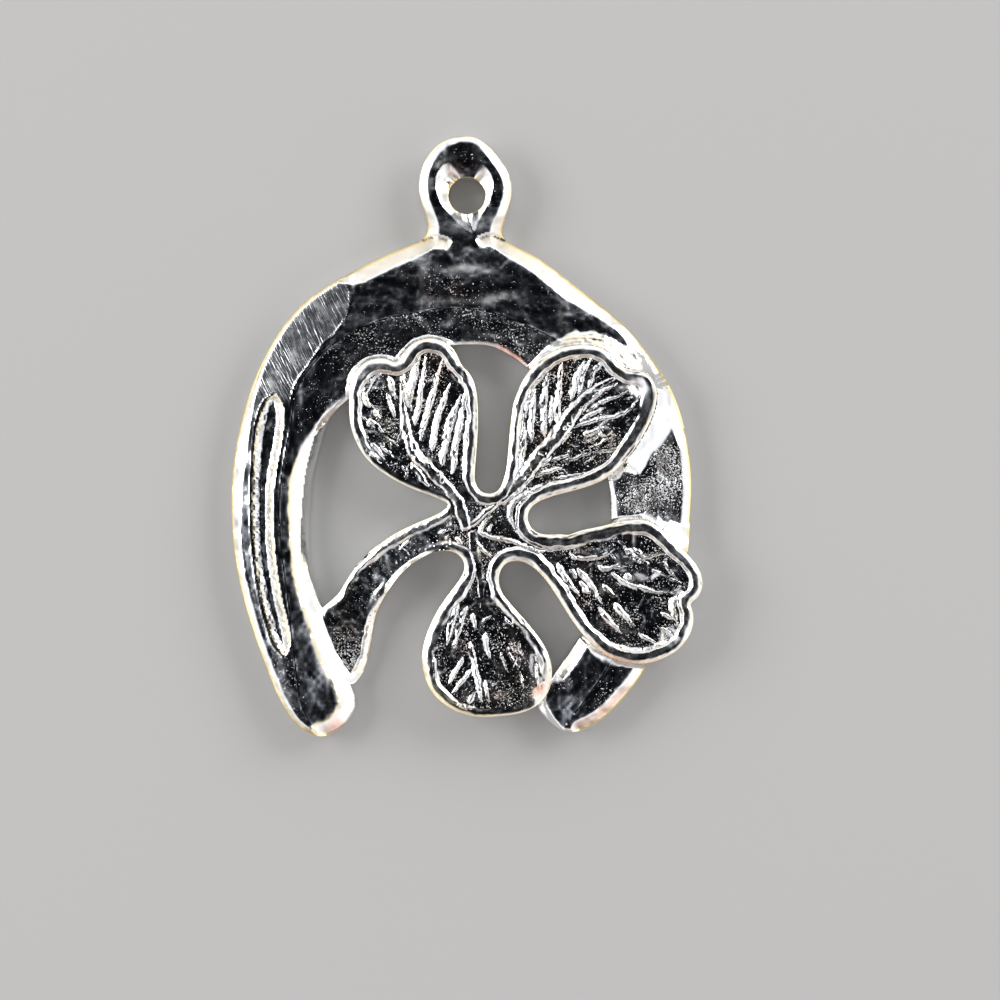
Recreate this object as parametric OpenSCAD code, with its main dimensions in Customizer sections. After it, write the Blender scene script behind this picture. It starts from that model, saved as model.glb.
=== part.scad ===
// Four leaf clover charm: a horseshoe with a clover laid over it and a pierced eye on top.
// One solid casting lying on its flat back. The face looks up, the eye points to +Y.
// The origin is under the middle of the charm's outline. Sizes are in millimetres.

/* [Overall] */
// Height of the charm from the tips of the shoe to the top of the eye
charm_h = 28; // [22:0.5:36]

/* [Shoe] */
// Thickness of the shoe along its crease
crease_t = 1.85; // [1.5:0.05:1.9]
// Thickness of the shoe where the outer rim starts to round over
shoe_edge_t = 1.15; // [0.8:0.05:1.3]
// Depth of the nail groove below the face of the left arm
groove_depth = 0.7; // [0.3:0.05:0.9]
// Height of the raised lip round the nail groove
groove_lip = 0.12; // [0.05:0.01:0.2]

/* [Clover] */
// Thickness of the leaves at their raised rim
leaf_t = 2.35; // [2.2:0.05:3]
// Thickness of the leaves at their sunk floor
leaf_floor_t = 1.92; // [1.85:0.01:2]
// Width of the raised rim of a leaf, with its rounded edge
rim_w = 0.5; // [0.35:0.05:0.6]
// Height of the side veins above the floor of a leaf
vein_rise = 0.24; // [0.1:0.02:0.3]
// Width of a side vein at its foot
vein_w = 0.42; // [0.3:0.02:0.5]
// Width of a midrib at its foot
midrib_w = 0.62; // [0.4:0.02:0.7]
// Thickness of the stem at its raised rims
stem_t = 2.2; // [2:0.05:2.3]

/* [Eye] */
// Diameter of the hole through the eye
eye_hole_d = 1.72; // [1.2:0.02:1.9]
// Diameter of the eye over its rounded rim
eye_d = 4.4; // [4:0.05:5]
// Thickness of the eye at its crest
eye_t = 1.95; // [1.6:0.05:2.2]

/* [Hidden] */

// Places in plan are shares of the charm's height
shoe_centre = [0, -0.105] * charm_h;
hub = [0.008, -0.152] * charm_h;
eye_centre = [-0.0025, 0.418] * charm_h;
hole_centre = [0, 0.401] * charm_h;

// The tallest feature sets the height of the relief
relief_h = max(leaf_t, stem_t, eye_t, crease_t);

// Steps of a smooth curve between two rows of a table
shoe_steps = 3;
leaf_steps = 3;
path_steps = 3;
eye_sides = 40;
hole_sides = 72;
overlap = 0.3;

// Steps in height between the forms of the clover, so that no two tops lie level
leaf_step = 0.065;
midrib_drop = 0.06;
web_rise = 0.16;
boss_shoulder = 0.14;
stem_foot_drop = 0.1;

// Shoe edge, from the right tip over the arch to the left tip
// columns: angle round the shoe centre, outer radius, inner radius, crease place across
SHOE = [
    [-72.6, 0.376, 0.352, 0.50],
    [-70.5, 0.398, 0.340, 0.48],
    [-66, 0.424, 0.328, 0.46],
    [-60, 0.431, 0.312, 0.45],
    [-49.5, 0.418, 0.293, 0.45],
    [-34, 0.399, 0.272, 0.48],
    [-18, 0.379, 0.250, 0.50],
    [0, 0.3745, 0.240, 0.52],
    [20, 0.3835, 0.2365, 0.55],
    [46.5, 0.391, 0.2335, 0.62],
    [58, 0.396, 0.238, 0.66],
    [69, 0.411, 0.247, 0.68],
    [80, 0.432, 0.259, 0.69],
    [90, 0.440, 0.260, 0.69],
    [103, 0.436, 0.257, 0.62],
    [121, 0.429, 0.251, 0.50],
    [141, 0.423, 0.262, 0.50],
    [161, 0.4025, 0.263, 0.60],
    [178, 0.3935, 0.261, 0.63],
    [199, 0.4035, 0.281, 0.66],
    [217, 0.426, 0.303, 0.54],
    [227, 0.453, 0.327, 0.40],
    [234.5, 0.470, 0.353, 0.36],
    [239, 0.460, 0.369, 0.40],
    [241.5, 0.433, 0.381, 0.45],
    [242.2, 0.410, 0.392, 0.50]
];

// Shape of the shoe across its width, from the inner wall to the outer wall
// columns: place between the crease and the wall, height between the edge and the crease
SHOE_INNER = [[1, 0], [0.86, 0.42], [0.55, 0.72]];
SHOE_OUTER = [[0.34, 0.58], [0.72, 0.46], [0.90, 0.28], [1, 0]];

// Nail groove: first and last angle, place across the shoe, half width
groove_from = 151.4;
groove_to = 220;
groove_across = 0.39;
groove_half_w = 0.0185 * charm_h;
groove_swell = 0.005 * charm_h;
lip_w = 0.0055 * charm_h;

// Outline of each leaf, from its foot up the right side, round the notch and back
// columns: place along the leaf over its length, place aside over its width
UPPER_LEFT = [
    [0.04, -0.06], [0.16, -0.14], [0.33, -0.26], [0.53, -0.41], [0.70, -0.47], [0.90, -0.415],
    [0.98, -0.295], [0.98, -0.13], [0.935, -0.015], [0.995, 0.13], [0.985, 0.28],
    [0.90, 0.41], [0.76, 0.51], [0.60, 0.52], [0.44, 0.43], [0.30, 0.275], [0.16, 0.07],
    [0.03, 0.05]
];
UPPER_RIGHT = [
    [0.05, -0.07], [0.26, -0.225], [0.40, -0.35], [0.525, -0.47], [0.685, -0.50],
    [0.865, -0.425], [0.985, -0.295], [0.99, -0.14], [0.945, 0.02], [0.93, 0.26],
    [0.81, 0.45], [0.675, 0.50], [0.56, 0.45], [0.44, 0.33], [0.34, 0.18], [0.23, 0.06],
    [0.04, 0.06]
];
RIGHT = [
    [0.05, -0.08], [0.21, -0.113], [0.39, -0.215], [0.555, -0.435], [0.73, -0.55],
    [0.85, -0.52], [0.945, -0.405], [1, -0.21], [0.993, -0.10], [0.954, 0],
    [0.985, 0.14], [0.915, 0.285], [0.77, 0.41], [0.65, 0.44], [0.50, 0.305],
    [0.38, 0.165], [0.24, 0.10], [0.04, 0.07]
];
BOTTOM = [
    [0.05, -0.09], [0.19, -0.08], [0.30, -0.165], [0.48, -0.365], [0.67, -0.457],
    [0.80, -0.43], [0.90, -0.33], [0.975, -0.17], [0.99, 0.02], [0.995, 0.24],
    [0.965, 0.375], [0.84, 0.53], [0.745, 0.543], [0.63, 0.48], [0.44, 0.29], [0.29, 0.18],
    [0.04, 0.08]
];

// Midrib of each leaf, in the same shares
UPPER_LEFT_RIB = [[0, 0], [0.30, 0.06], [0.50, 0.175], [0.62, 0.165], [0.74, 0.11], [0.89, 0.03]];
UPPER_RIGHT_RIB = [[0, 0], [0.36, 0.005], [0.52, 0.03], [0.70, 0.075], [0.84, 0.04], [0.91, 0.01]];
RIGHT_RIB = [[0, 0], [0.24, 0], [0.40, 0.065], [0.52, 0.02], [0.74, -0.005], [0.90, 0.04]];
BOTTOM_RIB = [[0, 0], [0.22, 0.02], [0.38, -0.015], [0.57, -0.058], [0.70, -0.025], [0.93, 0.005]];

// The four leaves
// columns: axis angle, length, width, outline, midrib, veins on the right, veins on the left,
// and how far the leaf's rim sits below the hub's boss, over the largest such step
LEAVES = [
    [114.4, 0.3233, 0.22, UPPER_LEFT, UPPER_LEFT_RIB, 7, 5, 0.31],
    [46.9, 0.385, 0.22, UPPER_RIGHT, UPPER_RIGHT_RIB, 6, 7, 0.77],
    [-18.9, 0.40, 0.235, RIGHT, RIGHT_RIB, 7, 5, 0.54],
    [-86, 0.3133, 0.215, BOTTOM, BOTTOM_RIB, 5, 3, 1]
];

// Web round the hub that closes the ends of the gaps between leaves
// columns: angle round the hub, reach
HUB = [
    [-145, 0.066], [-134, 0.053], [-112, 0.054], [-102, 0.078], [-64, 0.104], [-52, 0.085],
    [-40, 0.092], [-36, 0.118], [-3, 0.112], [12, 0.096], [27, 0.111], [54, 0.085],
    [66, 0.066], [80, 0.068], [137, 0.070], [140, 0.054], [150, 0.060]
];
hub_rim_w = 0.009 * charm_h;
boss_r = 0.031 * charm_h;
boss_sides = 14;

// Stem from the hub to the left arm
// columns: x share, y share, width share
STEM = [
    [0.020, -0.155, 0.050], [-0.028, -0.153, 0.074], [-0.062, -0.162, 0.059],
    [-0.094, -0.178, 0.056], [-0.126, -0.204, 0.057], [-0.157, -0.239, 0.066],
    [-0.184, -0.282, 0.092], [-0.198, -0.335, 0.088], [-0.204, -0.385, 0.070],
    [-0.207, -0.420, 0.046]
];

// Shape of the stem across its half width
// columns: place from the middle to the wall, height over the stem's rim height
STEM_HALF = [[0.35, 0.90], [0.55, 0.92], [0.68, 1], [0.85, 1], [1, 0.86]];

function mix(a, b, share) = a + (b - a) * share;

function mean(loop) = [for (p = loop) 1] * loop / len(loop);

// Row of a table, held at the ends of an open one and wrapped round a closed one
function row_at(rows, i, closed) =
    closed ? rows[(i + len(rows)) % len(rows)] : rows[max(0, min(len(rows) - 1, i))];

// Smooth curve through four neighbouring rows
function between(a, b, c, d, f) =
    b + 0.5 * f * (c - a + f * (2 * a - 5 * b + 4 * c - d + f * (3 * (b - c) + d - a)));

function curve(rows, u, closed = false) =
    let (i = floor(u))
    between(row_at(rows, i - 1, closed), row_at(rows, i, closed),
            row_at(rows, i + 1, closed), row_at(rows, i + 2, closed), u - i);

function smooth_path(rows, steps) =
    [for (k = [0 : (len(rows) - 1) * steps]) curve(rows, k / steps)];

function smooth_loop(rows, steps) =
    [for (k = [0 : len(rows) * steps - 1]) curve(rows, k / steps, true)];

// Unit normal to the left of the way from a to b
function left_of(a, b) = [a.y - b.y, b.x - a.x] / norm(b - a);

// Closed loop drawn in by a distance, less where the leaf's foot is narrow
function drawn_in(loop, distance, narrow_to) =
    let (n = len(loop))
    [for (i = [0 : n - 1])
        let (room = loop[i].x < narrow_to ? 0.55 * abs(loop[i].y) : distance)
        loop[i] + left_of(loop[(i + n - 1) % n], loop[(i + 1) % n]) * min(distance, room)];

function at_height(loop, z) = [for (p = loop) [p.x, p.y, z]];

// Solid skin over a row of closed rings, each end closed by a fan
module loft(rings) {
    n = len(rings[0]);
    last = len(rings) - 1;
    ring_points = [for (ring = rings) each ring];
    first_middle = len(ring_points);
    last_middle = first_middle + 1;
    sides = [
        for (i = [0 : last - 1], j = [0 : n - 1], half = [0, 1])
            let (a = i * n + j, b = i * n + (j + 1) % n)
            half == 0 ? [a, a + n, b + n] : [a, b + n, b]
    ];
    first_cap = [for (j = [0 : n - 1]) [first_middle, j, (j + 1) % n]];
    last_cap = [for (j = [0 : n - 1]) [last_middle, last * n + (j + 1) % n, last * n + j]];
    polyhedron(
        points = concat(ring_points, [mean(rings[0]), mean(rings[last])]),
        faces = concat(sides, first_cap, last_cap),
        convexity = 8
    );
}

// Point of the shoe at a share of the way from the outer wall to the inner wall
function shoe_point(row, across, z) =
    let (r = mix(row[1], row[2], across) * charm_h)
    [shoe_centre.x + r * cos(row[0]), shoe_centre.y + r * sin(row[0]), z];

function shoe_height(share) = mix(shoe_edge_t, crease_t, share);

function shoe_ring(row) =
    let (crease = row[3])
    concat(
        [shoe_point(row, 1, 0)],
        [for (p = SHOE_INNER) shoe_point(row, mix(crease, 1, p[0]), shoe_height(p[1]))],
        [shoe_point(row, crease, crease_t)],
        [for (p = SHOE_OUTER) shoe_point(row, mix(crease, 0, p[0]), shoe_height(p[1]))],
        [shoe_point(row, 0, 0)]
    );

module band() {
    loft([for (row = smooth_path(SHOE, shoe_steps)) shoe_ring(row)]);
}

// Rows of the shoe under the nail groove, evenly spaced in angle
function shoe_row_at(angle) =
    let (rows = smooth_path(SHOE, 4 * shoe_steps),
         i = [for (k = [1 : len(rows) - 1]) if (rows[k][0] >= angle) k][0],
         f = (angle - rows[i - 1][0]) / (rows[i][0] - rows[i - 1][0]))
    mix(rows[i - 1], rows[i], f);

// Half width of the groove at a share of its length: blunt top, long taper to the foot
function groove_half(s) =
    groove_half_w * sqrt(min(1, s * 14)) * sqrt(min(1, (1 - s) * 5))
    + groove_swell * max(0, 1 - abs(s - 0.12) * 8);

module groove_strip(extra, low, high) {
    lead = extra / charm_h;
    stations = 18;
    loft([
        for (k = [0 : stations])
            let (s = mix(0.02, 0.98, k / stations),
                 place = mix(-lead, 1 + lead, k / stations),
                 row = shoe_row_at(mix(groove_from, groove_to, place)),
                 shoe_w = (row[1] - row[2]) * charm_h,
                 half = (groove_half(s) + extra) / shoe_w)
            [
                shoe_point(row, groove_across + half, low),
                shoe_point(row, groove_across + half, high),
                shoe_point(row, groove_across - half, high),
                shoe_point(row, groove_across - half, low)
            ]
    ]);
}

module shoe() {
    face = shoe_height(0.62);
    difference() {
        union() {
            band();
            groove_strip(lip_w, face - overlap, face + groove_lip);
        }
        groove_strip(0, face - groove_depth, relief_h + overlap);
    }
}

// Radius of the eye's outline; below, a straight neck runs down into the arch
neck_half_w = 0.0608 * charm_h;
neck_len = 0.127 * charm_h;

// The neck's top sinks into the face of the arch
function crest_height(radius) =
    let (share = max(0, radius - eye_d / 2) / (neck_len - eye_d / 2))
    mix(eye_t, 0.74 * eye_t, share);

function eye_radius(angle) =
    sin(angle) < 0
        ? max(eye_d / 2, min(neck_half_w / abs(cos(angle) + 0.0001), neck_len / -sin(angle)))
        : eye_d / 2;

// Radius of the funnel's brim, drawn out to a point over the neck
function funnel_radius(angle) = charm_h * (0.050 + 0.030 * pow(max(0, cos(angle - 278)), 6));

function round_loop(centre, heights, radii) = [
    for (k = [0 : eye_sides - 1])
        let (angle = 360 * k / eye_sides)
        [centre.x + radii[k] * cos(angle), centre.y + radii[k] * sin(angle), heights[k]]
];

module eye() {
    outline = [for (k = [0 : eye_sides - 1]) eye_radius(360 * k / eye_sides)];
    brim = [for (k = [0 : eye_sides - 1]) funnel_radius(360 * k / eye_sides)];
    throat = [for (k = [0 : eye_sides - 1]) eye_hole_d * 0.42];
    crest_in = [for (r = outline) r - 0.016 * charm_h];
    rounding = [for (r = outline) r - 0.005 * charm_h];
    crest = [for (r = outline) crest_height(r)];
    loft([
        round_loop(eye_centre, 0 * crest, outline),
        round_loop(eye_centre, 0.62 * crest, outline),
        round_loop(eye_centre, 0.86 * crest, rounding),
        round_loop(eye_centre, crest, crest_in),
        round_loop(eye_centre, 0.96 * [for (r = brim) crest_height(r)], brim),
        round_loop(hole_centre, 0.5 * [for (r = throat) eye_t], throat)
    ]);
}

// Strip with sloping flanks along a path, thinned at its far end
module ridge(path, foot_w, top_w, low, high) {
    n = len(path) - 1;
    loft([
        for (i = [0 : n])
            let (side = left_of(path[max(0, i - 1)], path[min(n, i + 1)]),
                 taper = mix(1, 0.45, i / n),
                 foot = side * foot_w * taper / 2,
                 top = side * top_w * taper / 2)
            [
                [path[i].x + foot.x, path[i].y + foot.y, low],
                [path[i].x + top.x, path[i].y + top.y, high],
                [path[i].x - top.x, path[i].y - top.y, high],
                [path[i].x - foot.x, path[i].y - foot.y, low]
            ]
    ]);
}

module leaf(row) {
    size = [row[1] * charm_h, row[2] * charm_h];
    outline = smooth_loop([for (p = row[3]) [p[0] * size.x, p[1] * size.y]], leaf_steps);
    rib = smooth_path([for (p = row[4]) [p[0] * size.x, p[1] * size.y]], path_steps);
    narrow_to = 0.45 * size.x;
    inner = drawn_in(outline, rim_w, narrow_to);
    rim_t = leaf_t - row[7] * leaf_step;
    loft([
        at_height(outline, 0),
        at_height(outline, rim_t - 0.4 * rim_w),
        at_height(drawn_in(outline, 0.12 * rim_w, narrow_to), rim_t - 0.14 * rim_w),
        at_height(drawn_in(outline, 0.4 * rim_w, narrow_to), rim_t),
        at_height(inner, rim_t - 0.05 * rim_w),
        at_height(drawn_in(outline, 1.3 * rim_w, narrow_to), leaf_floor_t)
    ]);
    ridge(rib, midrib_w, 0.5 * midrib_w, leaf_floor_t - overlap, rim_t - midrib_drop);
    leaf_veins(inner, rib, row[5], 0.10, 0.44);
    leaf_veins(inner, rib, row[6], 0.90, 0.56);
}

// Side veins from the midrib to the rim; the rim places are shares round the leaf
module leaf_veins(inner, rib, count, rim_from, rim_to) {
    for (k = [0 : count - 1]) {
        share = (k + 0.5) / count;
        start = rib[round(mix(0.14, 0.80, share) * (len(rib) - 1))];
        end = inner[round(mix(rim_from, rim_to, share) * (len(inner) - 1))];
        turn = mix(start, end, 0.5) + [0.06, 0] * norm(end - start);
        ridge([end, turn, start], vein_w, 0.35 * vein_w, leaf_floor_t - overlap,
              leaf_floor_t + vein_rise);
    }
}

module stem() {
    rows = smooth_path(STEM, path_steps);
    n = len(rows) - 1;
    loft([
        for (i = [0 : n])
            let (p = [rows[i][0], rows[i][1]] * charm_h,
                 side = left_of([rows[max(0, i - 1)][0], rows[max(0, i - 1)][1]],
                                [rows[min(n, i + 1)][0], rows[min(n, i + 1)][1]]),
                 half = rows[i][2] * charm_h / 2,
                 high = mix(stem_t, crease_t - stem_foot_drop, pow(i / n, 3)))
            concat(
                [[p.x + side.x * half, p.y + side.y * half, 0]],
                [for (j = [len(STEM_HALF) - 1 : -1 : 0])
                    [p.x + side.x * half * STEM_HALF[j][0], p.y + side.y * half * STEM_HALF[j][0],
                     high * STEM_HALF[j][1]]],
                [for (q = STEM_HALF)
                    [p.x - side.x * half * q[0], p.y - side.y * half * q[0], high * q[1]]],
                [[p.x - side.x * half, p.y - side.y * half, 0]]
            )
    ]);
}

module hub_web() {
    edge = [for (p = HUB) [cos(p[0]), sin(p[0])] * p[1] * charm_h];
    inside = [for (p = HUB) [cos(p[0]), sin(p[0])] * (p[1] * charm_h - hub_rim_w)];
    loft([
        at_height(edge, 0),
        at_height(edge, leaf_floor_t + web_rise),
        at_height(inside, leaf_floor_t + 0.44 * web_rise)
    ]);
}

// Low boss that covers the feet of the leaves where they meet
module hub_boss() {
    disc = [for (k = [0 : boss_sides - 1]) [cos(360 * k / boss_sides), sin(360 * k / boss_sides)]];
    loft([
        at_height(disc * boss_r, leaf_floor_t - overlap),
        at_height(disc * boss_r, leaf_t - boss_shoulder),
        at_height(disc * boss_r * 0.88, leaf_t - 0.2 * boss_shoulder),
        at_height(disc * boss_r * 0.62, leaf_t)
    ]);
}

module clover() {
    translate([hub.x, hub.y, 0])
        hub_web();
    translate([hub.x, hub.y, 0])
        hub_boss();
    for (row = LEAVES) {
        translate([hub.x, hub.y, 0])
            rotate([0, 0, row[0]])
                leaf(row);
    }
    stem();
}

module charm() {
    color([0.80, 0.81, 0.83])
        difference() {
            resize([0, 0, relief_h])
                union() {
                    shoe();
                    eye();
                    clover();
                }
            translate([hole_centre.x, hole_centre.y, -overlap])
                cylinder(d = eye_hole_d, h = relief_h + 2 * overlap, $fn = hole_sides);
        }
}

charm();
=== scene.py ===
import math

import bmesh
import bpy
import numpy as np
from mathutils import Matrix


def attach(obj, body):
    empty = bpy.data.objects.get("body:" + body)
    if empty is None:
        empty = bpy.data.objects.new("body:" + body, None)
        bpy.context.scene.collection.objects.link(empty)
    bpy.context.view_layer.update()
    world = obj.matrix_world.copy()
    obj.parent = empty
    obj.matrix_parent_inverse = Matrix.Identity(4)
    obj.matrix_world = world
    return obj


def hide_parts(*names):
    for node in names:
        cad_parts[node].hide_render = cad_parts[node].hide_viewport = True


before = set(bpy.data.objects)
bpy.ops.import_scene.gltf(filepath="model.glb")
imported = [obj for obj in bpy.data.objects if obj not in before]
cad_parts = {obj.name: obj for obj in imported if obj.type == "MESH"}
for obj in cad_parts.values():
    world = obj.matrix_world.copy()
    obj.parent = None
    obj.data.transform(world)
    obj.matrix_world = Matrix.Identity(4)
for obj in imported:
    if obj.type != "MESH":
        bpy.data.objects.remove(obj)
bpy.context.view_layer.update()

scene = bpy.context.scene


# The table and the light
# A plain pale board carries the charm. The room is dark overhead and bright all round, as in a
# light tent with an open top, so level metal shines dark and every rounded edge shines white.
FLOOR_SIDE = 1.2
FLOOR_DROP = 0.00001
FLOOR_COLOUR = (0.54, 0.535, 0.525, 1)
FLOOR_ROUGHNESS = 0.6

floor_mesh = bpy.data.meshes.new("table_top")
half = FLOOR_SIDE / 2
corners = [(-half, -half), (half, -half), (half, half), (-half, half)]
floor_mesh.from_pydata([(*corner, -FLOOR_DROP) for corner in corners], [], [(0, 1, 2, 3)])
floor = bpy.data.objects.new("table_top", floor_mesh)
scene.collection.objects.link(floor)

paint = bpy.data.materials.new("table_paint")
paint.use_nodes = True
matt = paint.node_tree.nodes["Principled BSDF"]
matt.inputs["Base Color"].default_value = FLOOR_COLOUR
matt.inputs["Roughness"].default_value = FLOOR_ROUGHNESS
floor_mesh.materials.append(paint)

# Brightness of the room by how far above the horizon it is seen
# columns: height of the direction (0 level, 1 overhead), red, green, blue
ROOM = [
    (0.0, 0.45, 0.44, 0.43), (0.17, 1.0, 0.99, 0.97), (0.34, 1.32, 1.31, 1.29), (0.5, 1.38, 1.38, 1.38),
    (0.64, 1.3, 1.31, 1.33), (0.766, 0.76, 0.78, 0.82), (0.81, 0.42, 0.44, 0.48), (0.866, 0.15, 0.16, 0.18),
    (0.914, 0.055, 0.058, 0.066), (0.94, 0.022, 0.024, 0.028), (0.97, 0.007, 0.008, 0.01),
    (1.0, 0.002, 0.002, 0.003)]
HEADROOM = 2.0  # the ramp holds each brightness divided by this
FOLD_SCALE = 1.6
FOLD_RANGE = (0.38, 0.62, 0.86, 1.12)  # noise from and to, brightness from and to
DIM_RANGE = (-0.45, -0.92, 0.0, 0.85)  # direction's way up the picture from and to, share from and to
DIM_TINT = (0.42, 0.33, 0.29, 1)


def node(tree, kind, feeds=None, **settings):
    """Adds a node to a tree and sets the properties that are named. Each input in feeds gets its
    value, or a link where the feed is another node's output."""
    made = tree.nodes.new(kind)
    for key, value in settings.items():
        setattr(made, key, value)
    for key, feed in (feeds or {}).items():
        if isinstance(feed, bpy.types.NodeSocket):
            tree.links.new(feed, made.inputs[key])
        else:
            made.inputs[key].default_value = feed
    return made


def ranged(tree, value, span):
    """Output that carries a value from the first two numbers of span to the last two."""
    ends = dict(zip(("From Min", "From Max", "To Min", "To Max"), span))
    return node(tree, "ShaderNodeMapRange", {"Value": value, **ends}).outputs[0]


world = bpy.data.worlds.new("light_tent")
world.use_nodes = True
scene.world = world
scene.view_settings.view_transform = "Standard"
sky = world.node_tree
sky.nodes.clear()
direction = node(sky, "ShaderNodeTexCoord").outputs["Generated"]
split = node(sky, "ShaderNodeSeparateXYZ", {0: direction})
ramp = node(sky, "ShaderNodeValToRGB", {"Fac": split.outputs["Z"]})
ramp.color_ramp.interpolation = "B_SPLINE"
stops = ramp.color_ramp.elements
while len(stops) < len(ROOM):
    stops.new(0.5)
for stop, (height, *colour) in zip(stops, ROOM):
    stop.position = height
    stop.color = (*[part / HEADROOM for part in colour], 1)
# the side at the foot of the picture is open, so it is dim and a little rosy
dim_share = ranged(sky, split.outputs["Y"], DIM_RANGE)
dimmed = node(sky, "ShaderNodeMix", {0: dim_share, 6: ramp.outputs["Color"], 7: DIM_TINT},
              data_type="RGBA", blend_type="MULTIPLY")
# the cloth's folds: the light varies softly round the room
folds = node(sky, "ShaderNodeTexNoise", {"Vector": direction, "Scale": FOLD_SCALE})
fold_share = ranged(sky, folds.outputs[0], FOLD_RANGE)
folded = node(sky, "ShaderNodeVectorMath", {0: dimmed.outputs[2], "Scale": fold_share}, operation="SCALE")
glow = node(sky, "ShaderNodeBackground", {"Color": folded.outputs[0], "Strength": HEADROOM})
node(sky, "ShaderNodeOutputWorld", {"Surface": glow.outputs[0]})

# columns: name, place in metres, width in metres, power in watts
LAMPS = [
    ("soft_left", (-0.34, 0.10, 0.26), 0.24, 0.6),
    ("soft_right", (0.30, 0.20, 0.24), 0.22, 0.5),
]
for name, place, width, power in LAMPS:
    lamp_data = bpy.data.lights.new(name, "AREA")
    lamp_data.shape = "SQUARE"
    lamp_data.size = width
    lamp_data.energy = power
    lamp = bpy.data.objects.new(name, lamp_data)
    scene.collection.objects.link(lamp)
    lamp.location = place
    away = np.array(place) / np.linalg.norm(place)
    lamp.rotation_euler = (math.acos(away[2]), 0, math.atan2(away[0], -away[1]))

# The camera looks straight down, as the photo does, over the middle of the picture
VIEW_MIDDLE = (0.00154, -0.00294)
VIEW_HEIGHT = 0.14  # above the charm's widest level
WIDEST_LEVEL = 0.0013
VIEW_WIDTH = 0.04667
SENSOR_WIDTH = 36
NEAREST_SEEN = 0.005
camera_data = bpy.data.cameras.new("camera")
camera_data.sensor_width = SENSOR_WIDTH
camera_data.lens = SENSOR_WIDTH * VIEW_HEIGHT / VIEW_WIDTH
camera_data.clip_start = NEAREST_SEEN
camera = bpy.data.objects.new("camera", camera_data)
camera.location = (*VIEW_MIDDLE, WIDEST_LEVEL + VIEW_HEIGHT)
scene.collection.objects.link(camera)
scene.camera = camera


# The horseshoe and its eye
# One end of the casting: a broad flat-backed band with a soft crease, bevelled on both edges, with
# a nail groove in its left arm and a pierced eye on top. It is cast in one with the clover, then
# polished and plated, so only its skin is made here and the clover's skin runs into it.
MM = 0.001
CHARM_H = 28.0  # overall height, mm
GRID = CHARM_H / 600  # one step of the grid that the tables are counted in, mm
GRID_ORIGIN = (467, 437)  # the grid's step (right, down) at the charm's origin
CREASE_T = 1.85  # height of the face along the crease, mm
EYE_T = 1.88  # height of the eye's crest, mm
HOLE_CENTRE = np.array([0.0, 0.401 * CHARM_H])
HOLE_R = 0.86

# Outer edge of the band with the eye, from the left tip over the top to the right tip
# columns: right, down, in grid steps
OUTER_EDGE = [
    (322, 737), (303, 730), (285, 710), (271, 680), (256, 640), (243.5, 600), (235, 560), (231, 520),
    (231, 480), (236.5, 440), (247, 400), (254.5, 379), (262.5, 361.5), (272, 344), (282.5, 327.5), (293, 314),
    (305, 302), (319, 291.5), (334, 282), (352, 271.5), (371, 261.5), (390, 252.5), (409, 245), (424, 239),
    (428, 228), (425.5, 215), (420, 200), (418.5, 184), (421, 170), (428, 155), (442, 142), (462, 137),
    (478, 138.5), (492, 150), (505, 166), (512, 182), (511.5, 200), (505, 220), (501.5, 233), (508, 242.5),
    (534.5, 255), (556, 270), (581, 290), (607, 310), (629, 330), (646, 350), (660, 370), (671, 390),
    (683, 420), (690.5, 460), (692, 490), (690, 520), (687, 555), (680, 590), (665, 635), (645, 669),
    (630, 691), (610, 713), (590, 727)]
# Inner edge, from the right tip up and round to the left tip
INNER_EDGE = [
    (572, 732.5), (556, 727.5), (544, 716), (537, 706), (541, 695), (550, 682), (558, 668), (577, 640),
    (595, 610), (605, 580), (609, 550), (611, 520), (610.5, 490), (600, 450), (585, 424), (562, 397),
    (530, 370), (513, 357), (500, 350), (489, 345.5), (470, 344.5), (450, 345.5), (432, 350), (410, 358),
    (389, 371), (366, 386), (345, 402), (328, 420), (320, 445), (313, 475), (310, 505), (308.5, 545),
    (312, 580), (325, 615), (340, 658), (350, 682), (356.5, 700), (354.8, 710), (347, 723), (334, 733)]
CREASE = [
    (312, 724), (303, 706), (298, 680), (293.5, 640), (289, 600), (283, 555), (280, 515), (282, 480),
    (287, 448), (292.5, 420), (296, 394), (314, 364), (338, 342), (380, 321), (421, 313), (445, 309),
    (483, 311), (515, 321), (550, 337), (590, 358), (625, 390), (648, 430), (657, 475), (656, 525),
    (648, 575), (630, 620), (605, 670), (575, 712)]
# Bright bevels along the two edges, by angle round the middle of the shoe
# columns: angle in degrees, width of the outer bevel, width of the inner one, mm
SHOE_MIDDLE = (467, 500)
BEVELS = [
    (-90, 0.3, 0.3), (-76, 0.34, 0.3), (-69.5, 0.44, 0.5), (-67.5, 0.5, 0.14), (-65, 0.5, 0.14),
    (-62, 0.55, 0.5), (-57, 0.55, 0.56), (-45, 0.5, 0.52), (-20, 0.42, 0.25), (0, 0.42, 0.22),
    (14, 0.44, 0.14), (20, 0.6, 0.14), (26, 0.74, 0.14), (35, 0.74, 0.12), (42, 0.5, 0.12), (48, 0.4, 0.12),
    (56, 0.6, 0.12), (64, 0.8, 0.12), (72, 0.78, 0.12), (82, 0.6, 0.12), (98, 0.62, 0.12), (106, 0.74, 0.12),
    (115, 0.74, 0.12), (118, 0.56, 0.13), (120.5, 0.17, 0.14), (145, 0.18, 0.2), (155, 0.34, 0.5),
    (163, 0.52, 0.8), (172, 0.56, 1.0), (180, 0.52, 0.96), (188, 0.42, 0.9), (197, 0.36, 0.8),
    (212, 0.34, 0.8), (228, 0.3, 0.9), (240, 0.26, 0.7), (252, 0.24, 0.66), (270, 0.34, 0.6)]
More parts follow.
